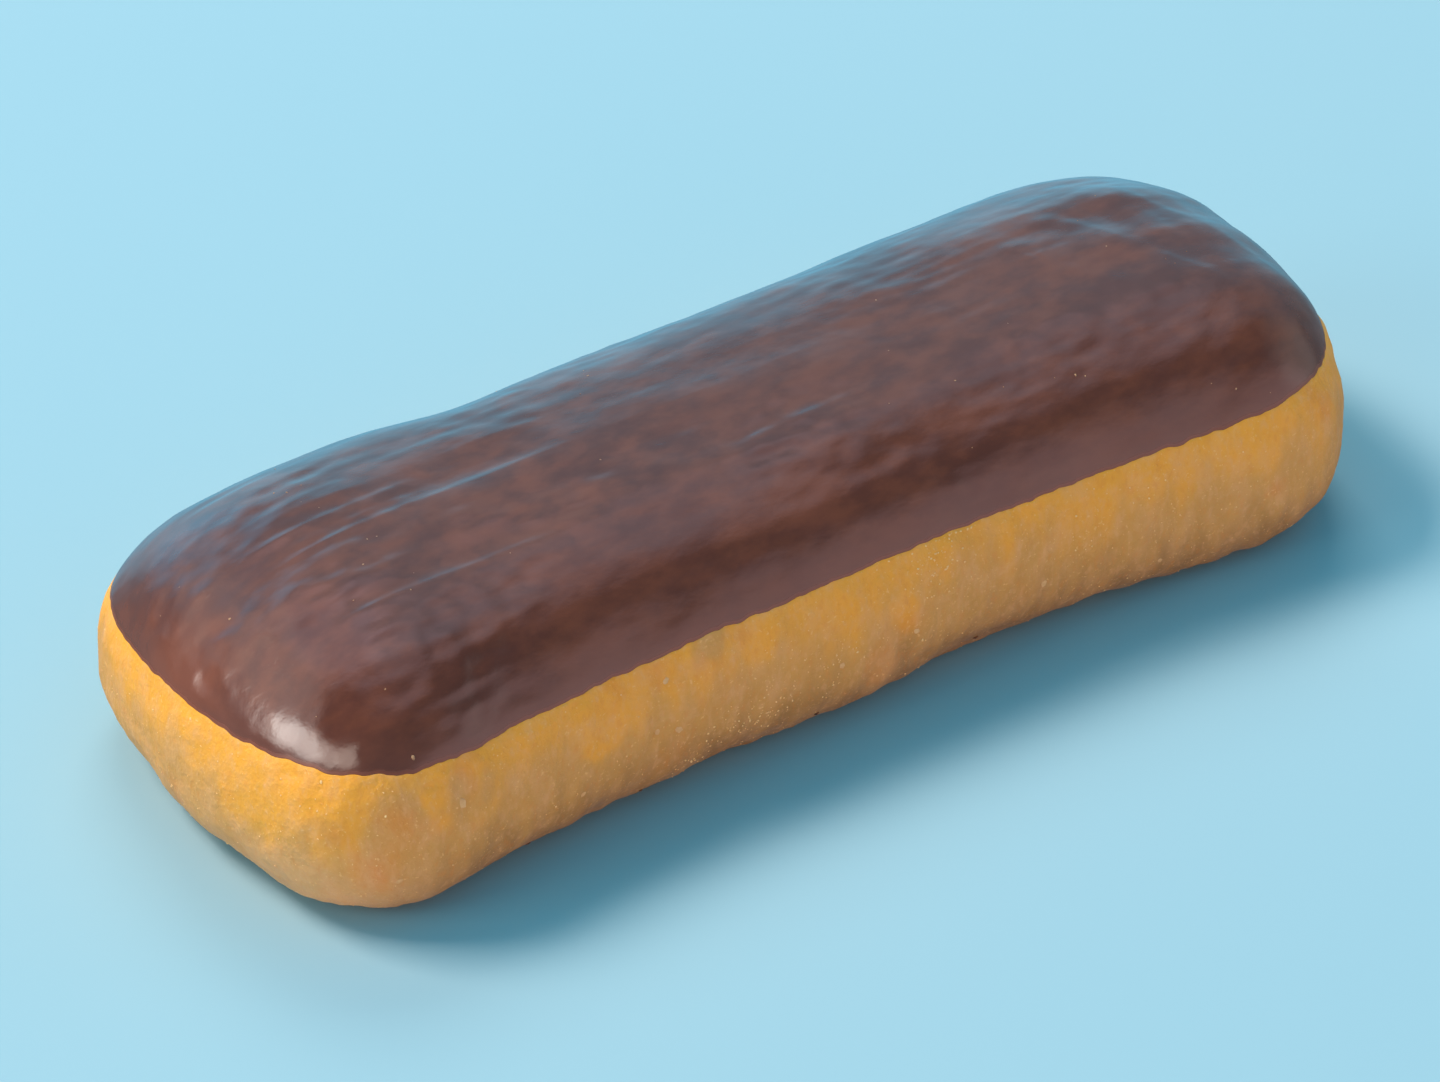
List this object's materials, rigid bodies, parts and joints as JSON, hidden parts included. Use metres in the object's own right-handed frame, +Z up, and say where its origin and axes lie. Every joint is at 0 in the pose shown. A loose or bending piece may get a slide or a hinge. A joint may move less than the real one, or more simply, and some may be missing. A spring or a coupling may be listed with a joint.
{
  "type": "long john doughnut",
  "caption": "Bar of fried yeast dough with chocolate icing over its top, rounded at both ends and resting on a flat foot.",
  "frame": {"origin": "under the middle of the bar, on the surface it rests on", "axes": "+X along the bar towards its rounder end, +Z up"},
  "size_m": [0.1656, 0.0639, 0.0357],
  "materials": {
    "dough": "matte",
    "icing": "gloss"
  },
  "bodies": {
    "root": {"dough": "dough", "icing": "icing"}
  },
  "joints": []
}
